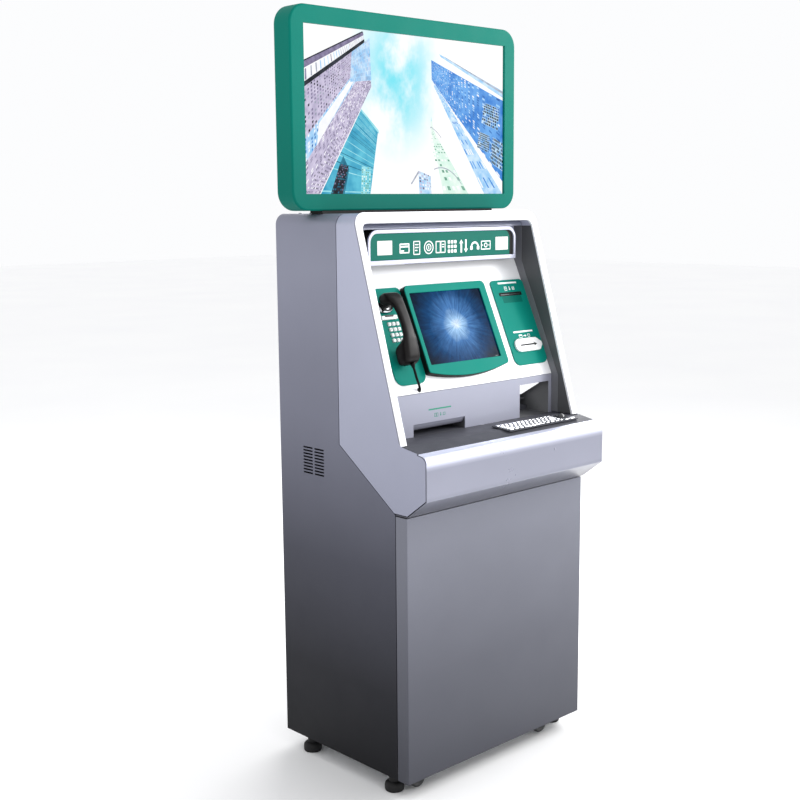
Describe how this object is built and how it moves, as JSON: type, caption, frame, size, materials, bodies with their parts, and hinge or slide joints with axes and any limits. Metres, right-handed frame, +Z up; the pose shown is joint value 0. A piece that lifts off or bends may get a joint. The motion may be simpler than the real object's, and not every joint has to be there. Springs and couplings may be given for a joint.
{
  "type": "self-service banking kiosk",
  "caption": "Free-standing self-service banking kiosk with hooded console, touch monitor, telephone handset, keyboard shelf and a large advertising display on top.",
  "frame": {"origin": "on the floor under the middle of the machine's bounding box", "axes": "+Z up, front of the machine faces -Y, +X to the right seen from the front"},
  "size_m": [0.78, 0.532, 1.874],
  "materials": {
    "body_paint": "satin dark silver powder coat",
    "hood_paint": "satin light silver powder coat",
    "door_paint": "satin mid silver powder coat",
    "fascia_white": "satin white paint",
    "fascia_silver": "satin silver paint",
    "shelf_grey": "fine textured dark grey",
    "zinc_steel": "zinc plated sheet",
    "display_green": "gloss green moulding",
    "panel_green": "semi gloss green plate",
    "black_plastic": "fine grain black plastic",
    "phone_black": "semi gloss black plastic",
    "keys_white": "white key caps",
    "white_plastic": "white plastic",
    "key_steel": "bright brushed steel",
    "screen_glass": "glass front with lit picture",
    "rubber": "black rubber",
    "caster_plastic": "black nylon",
    "cord_black": "black cord sheath",
    "module_grey": "plain module housing"
  },
  "bodies": {
    "root": {"base_frame": "zinc_steel", "power_cable_gland": "black_plastic", "levelling_feet": "rubber", "left_side_panel": "body_paint", "right_side_panel": "body_paint", "top_cover": "body_paint", "hinge_pins": "zinc_steel", "hood_shell": "hood_paint", "console_apron": "hood_paint", "console_shelf": "shelf_grey", "keyboard_plate": "key_steel", "header_back_panel": "fascia_silver", "fascia_panel": "fascia_white", "lower_fascia_panel": "fascia_silver", "header_box": "white_plastic", "header_sign": "panel_green", "monitor_bezel": "panel_green", "monitor_screen": "screen_glass", "phone_panel": "panel_green", "phone_cradle": "key_steel", "handset_cord": "cord_black", "cord_gland": "black_plastic", "service_panel": "panel_green", "card_slot_bezel": "white_plastic", "receipt_printer": "module_grey", "card_reader": "module_grey", "passbook_slot_tray": "shelf_grey", "passbook_printer": "module_grey", "document_bay": "shelf_grey", "industrial_pc": "module_grey", "display_frame": "display_green", "display_screen": "screen_glass", "display_rear_cover": "black_plastic", "display_pedestal": "black_plastic", "fasteners": "zinc_steel"},
    "front_door": {"front_door": "door_paint"},
    "front_latch": {"front_door_latch": "zinc_steel"},
    "rear_door": {"rear_door": "body_paint"},
    "rear_lock": {"rear_door_lock": "key_steel"},
    "handset": {"handset": "phone_black"},
    "hook_switch": {"hook_switch": "white_plastic"},
    "phone_keys_left": {"phone_keys_left": "keys_white"},
    "phone_keys_middle": {"phone_keys_middle": "keys_white"},
    "phone_keys_right": {"phone_keys_right": "keys_white"},
    "trackball": {"trackball": "black_plastic"},
    "ball_button_left": {"trackball_left_button": "key_steel"},
    "ball_button_right": {"trackball_right_button": "key_steel"},
    "key_row_1": {"key_row_1": "key_steel"},
    "key_row_2": {"key_row_2": "key_steel"},
    "key_row_3": {"key_row_3": "key_steel"},
    "key_row_4": {"key_row_4": "key_steel"},
    "key_row_5": {"key_row_5": "key_steel"},
    "caster_front_left": {"caster_fork_front_left": "caster_plastic"},
    "wheel_front_left": {"caster_wheel_front_left": "rubber"},
    "caster_front_right": {"caster_fork_front_right": "caster_plastic"},
    "wheel_front_right": {"caster_wheel_front_right": "rubber"},
    "caster_rear_left": {"caster_fork_rear_left": "caster_plastic"},
    "wheel_rear_left": {"caster_wheel_rear_left": "rubber"},
    "caster_rear_right": {"caster_fork_rear_right": "caster_plastic"},
    "wheel_rear_right": {"caster_wheel_rear_right": "rubber"}
  },
  "joints": [
    {"name": "front_door_hinge", "type": "hinge", "parent": "root", "child": "front_door", "pos_m": [0.314, -0.167, 0.044], "axis": [0, 0, 1], "range_deg": [0, 90]},
    {"name": "front_latch_turn", "type": "hinge", "parent": "front_door", "child": "front_latch", "pos_m": [-0.298, -0.184, 0.374], "axis": [0, 1, 0], "range_deg": [0, 90]},
    {"name": "rear_door_hinge", "type": "hinge", "parent": "root", "child": "rear_door", "pos_m": [-0.293, 0.2605, 0.044], "axis": [0, 0, 1], "range_deg": [0, 110]},
    {"name": "rear_lock_turn", "type": "hinge", "parent": "rear_door", "child": "rear_lock", "pos_m": [0.27, 0.256, 0.704], "axis": [0, 1, 0], "range_deg": [0, 90]},
    {"name": "handset_lift", "type": "slide", "parent": "root", "child": "handset", "axis": [0, -0.9117, 0.4109], "range_m": [0, 0.1]},
    {"name": "hook_travel", "type": "slide", "parent": "root", "child": "hook_switch", "axis": [0, -0.9117, 0.4109], "range_m": [0, 0.004]},
    {"name": "phone_keys_left_press", "type": "slide", "parent": "root", "child": "phone_keys_left", "axis": [0, 0.9117, -0.4109], "range_m": [0, 0.0015], "stiffness_N_per_m": 600},
    {"name": "phone_keys_middle_press", "type": "slide", "parent": "root", "child": "phone_keys_middle", "axis": [0, 0.9117, -0.4109], "range_m": [0, 0.0015], "stiffness_N_per_m": 600},
    {"name": "phone_keys_right_press", "type": "slide", "parent": "root", "child": "phone_keys_right", "axis": [0, 0.9117, -0.4109], "range_m": [0, 0.0015], "stiffness_N_per_m": 600},
    {"name": "key_row_1_press", "type": "slide", "parent": "root", "child": "key_row_1", "axis": [0, 0.0701, -0.9975], "range_m": [0, 0.0018], "stiffness_N_per_m": 1200},
    {"name": "key_row_2_press", "type": "slide", "parent": "root", "child": "key_row_2", "axis": [0, 0.0701, -0.9975], "range_m": [0, 0.0018], "stiffness_N_per_m": 1200},
    {"name": "key_row_3_press", "type": "slide", "parent": "root", "child": "key_row_3", "axis": [0, 0.0701, -0.9975], "range_m": [0, 0.0018], "stiffness_N_per_m": 1200},
    {"name": "key_row_4_press", "type": "slide", "parent": "root", "child": "key_row_4", "axis": [0, 0.0701, -0.9975], "range_m": [0, 0.0018], "stiffness_N_per_m": 1200},
    {"name": "key_row_5_press", "type": "slide", "parent": "root", "child": "key_row_5", "axis": [0, 0.0701, -0.9975], "range_m": [0, 0.0018], "stiffness_N_per_m": 1200},
    {"name": "trackball_roll", "type": "hinge", "parent": "root", "child": "trackball", "pos_m": [0.245, -0.18687, 0.86183], "axis": [1, 0, 0], "continuous": true},
    {"name": "ball_button_left_press", "type": "slide", "parent": "root", "child": "ball_button_left", "axis": [0, 0.0701, -0.9975], "range_m": [0, 0.0012], "stiffness_N_per_m": 500},
    {"name": "ball_button_right_press", "type": "slide", "parent": "root", "child": "ball_button_right", "axis": [0, 0.0701, -0.9975], "range_m": [0, 0.0012], "stiffness_N_per_m": 500},
    {"name": "caster_front_left_swivel", "type": "hinge", "parent": "root", "child": "caster_front_left", "pos_m": [-0.229, -0.152, 0.044], "axis": [0, 0, 1], "continuous": true},
    {"name": "wheel_front_left_roll", "type": "hinge", "parent": "caster_front_left", "child": "wheel_front_left", "pos_m": [-0.249, -0.152, 0.0255], "axis": [0, 1, 0], "continuous": true},
    {"name": "caster_front_right_swivel", "type": "hinge", "parent": "root", "child": "caster_front_right", "pos_m": [0.229, -0.152, 0.044], "axis": [0, 0, 1], "continuous": true},
    {"name": "wheel_front_right_roll", "type": "hinge", "parent": "caster_front_right", "child": "wheel_front_right", "pos_m": [0.209, -0.152, 0.0255], "axis": [0, 1, 0], "continuous": true},
    {"name": "caster_rear_left_swivel", "type": "hinge", "parent": "root", "child": "caster_rear_left", "pos_m": [-0.229, 0.216, 0.044], "axis": [0, 0, 1], "continuous": true},
    {"name": "wheel_rear_left_roll", "type": "hinge", "parent": "caster_rear_left", "child": "wheel_rear_left", "pos_m": [-0.249, 0.216, 0.0255], "axis": [0, 1, 0], "continuous": true},
    {"name": "caster_rear_right_swivel", "type": "hinge", "parent": "root", "child": "caster_rear_right", "pos_m": [0.229, 0.216, 0.044], "axis": [0, 0, 1], "continuous": true},
    {"name": "wheel_rear_right_roll", "type": "hinge", "parent": "caster_rear_right", "child": "wheel_rear_right", "pos_m": [0.209, 0.216, 0.0255], "axis": [0, 1, 0], "continuous": true}
  ],
  "couplings": [
    {"joint": "hook_travel", "follows": "handset_lift", "ratio": 0.04}
  ]
}
